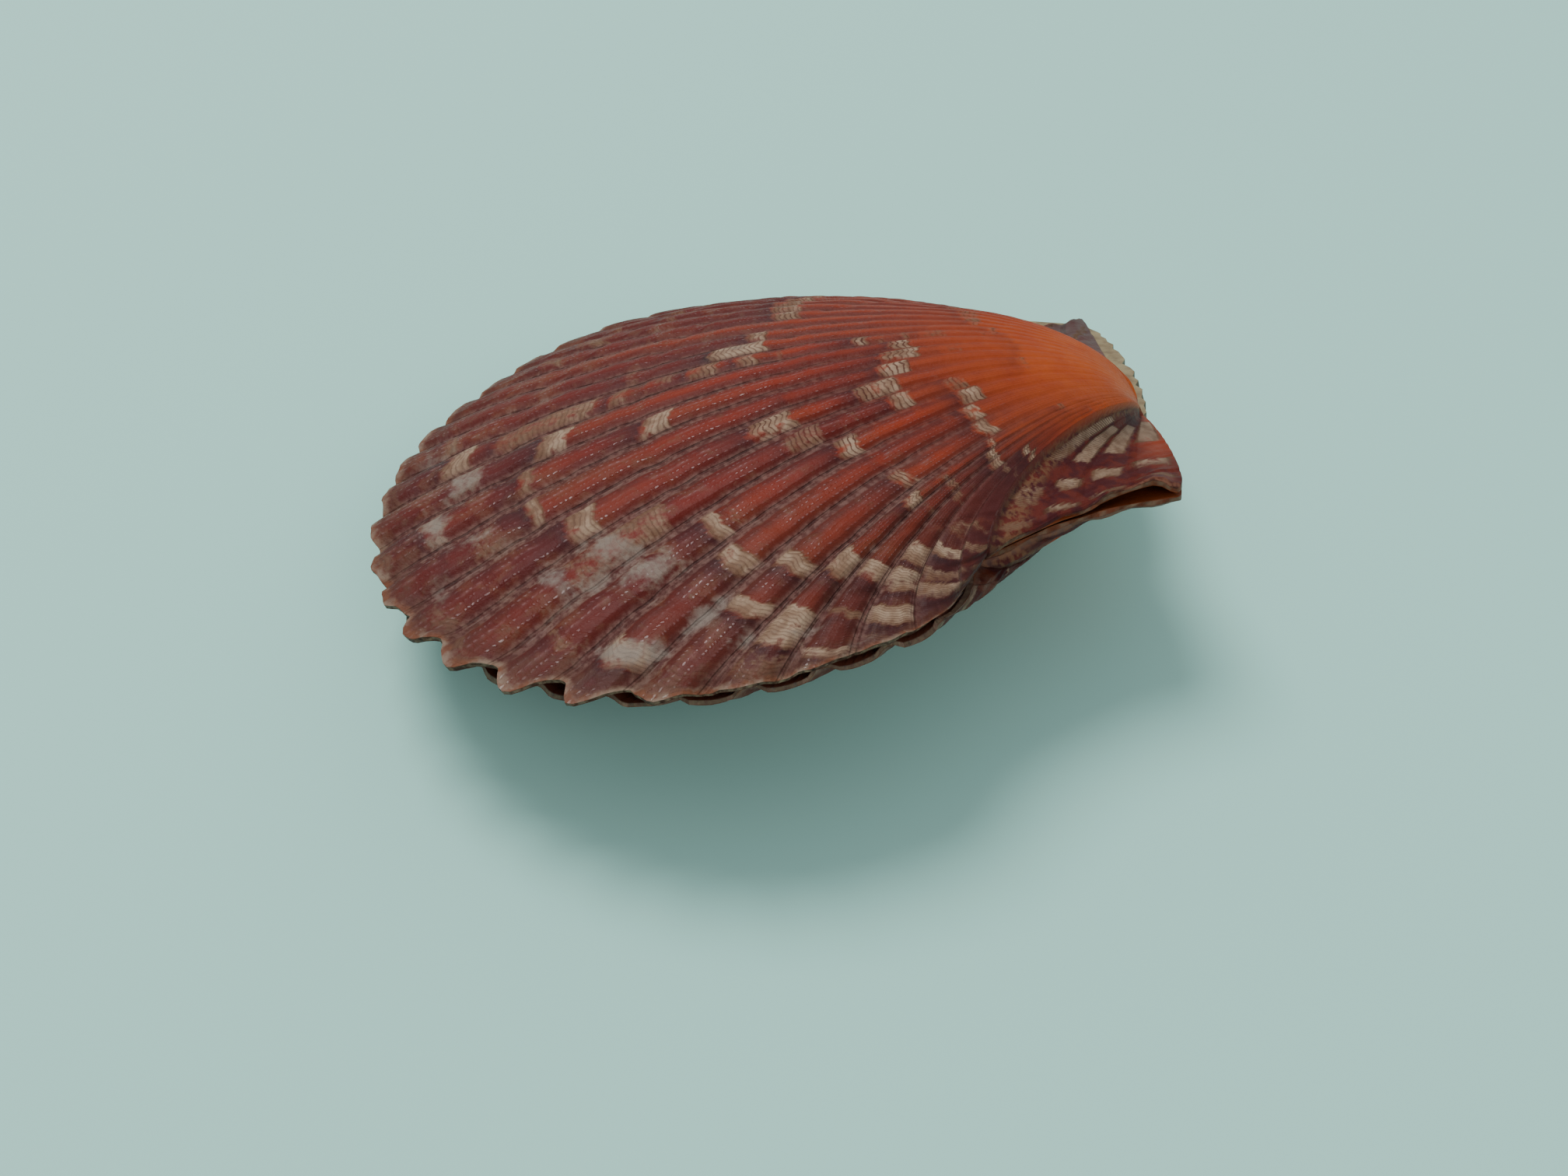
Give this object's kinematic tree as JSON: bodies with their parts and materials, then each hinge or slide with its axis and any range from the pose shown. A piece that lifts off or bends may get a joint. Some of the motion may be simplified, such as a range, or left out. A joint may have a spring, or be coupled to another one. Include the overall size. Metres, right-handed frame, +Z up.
{
  "type": "scallop shell",
  "caption": "Closed scallop shell, Mimachlamys crassicostata: two ribbed orange-red valves with cream bands, unequal ears and a dark ligament along the hinge.",
  "frame": {"origin": "middle of the shell's bounding box footprint, on the surface that it lies on", "axes": "+Z up from the resting surface through the left valve, +X towards the hinge and beaks, -Y towards the posterior ear; the shell lies on its right valve with the posterior side raised"},
  "size_m": [0.0754, 0.0744, 0.0251],
  "materials": {
    "left_shell": "satin orange-red to maroon shell with matt cream bands",
    "right_shell": "satin orange-red to maroon shell with a paler mauve margin",
    "ligament": "matt dark brown, dried"
  },
  "bodies": {
    "root": {"left_valve": "left_shell", "right_valve": "right_shell", "ligament": "ligament"}
  },
  "joints": []
}
